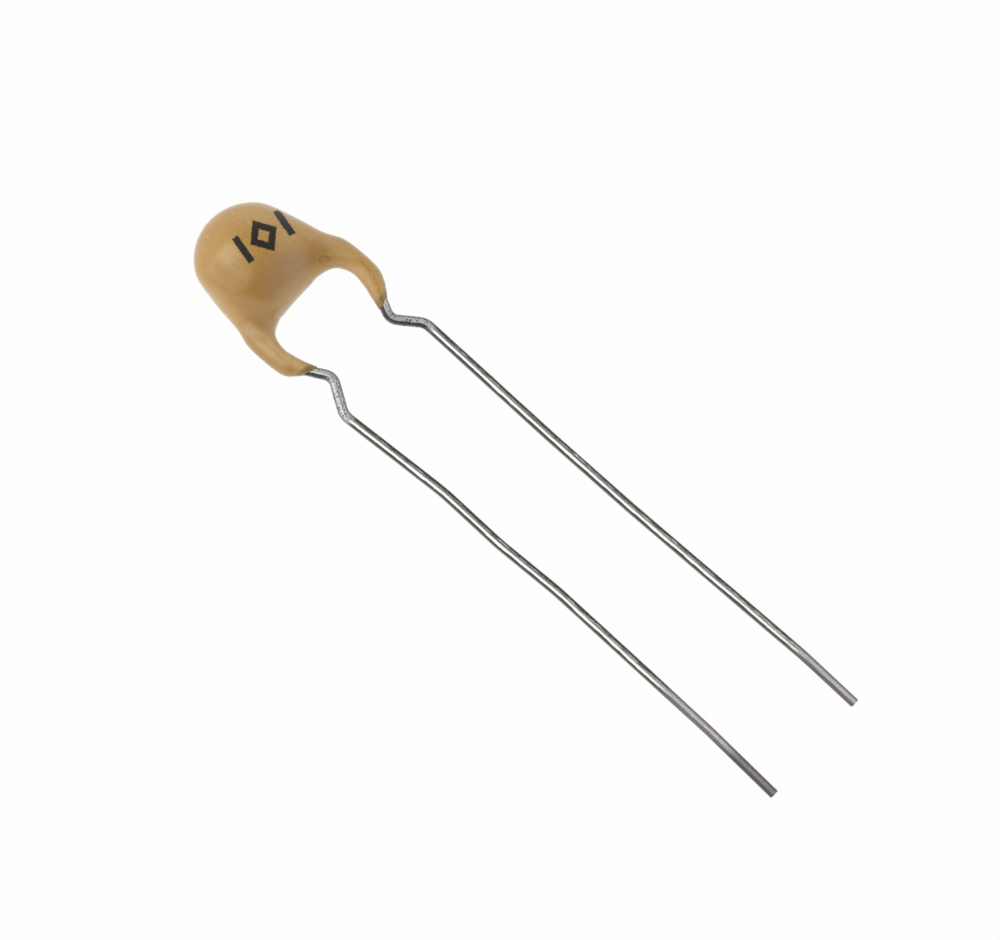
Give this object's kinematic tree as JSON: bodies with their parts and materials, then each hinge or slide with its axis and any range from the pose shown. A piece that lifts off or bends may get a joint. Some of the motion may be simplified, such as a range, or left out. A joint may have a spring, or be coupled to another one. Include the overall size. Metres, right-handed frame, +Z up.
{
  "type": "ptc thermistor",
  "caption": "Dip-coated disc thermistor with radial wire leads, kinked inward below the coat to stand off a board; its resistance climbs steeply once it warms.",
  "frame": {"origin": "middle of the footprint, on the ground that the coat's underside and both lead tips touch", "axes": "+Y runs from the lead tips to the domed top, +Z is up, out of the face that looks up, +X points across to the front lead's side"},
  "size_m": [0.0068, 0.0366, 0.004],
  "materials": {
    "coat": "satin ochre dip coat with a fine speckle",
    "wire": "tinned wire, bright along the run, rough at the kinks, dull at the tips",
    "ceramic": "sintered, matt",
    "electrode": "fired metal layer, matt",
    "solder": "cooled solder, half bright"
  },
  "bodies": {
    "root": {"coating": "coat", "ceramic_disc": "ceramic", "electrode_front": "electrode", "electrode_back": "electrode", "solder_front": "solder", "solder_back": "solder", "lead_front": "wire", "lead_back": "wire"}
  },
  "joints": []
}
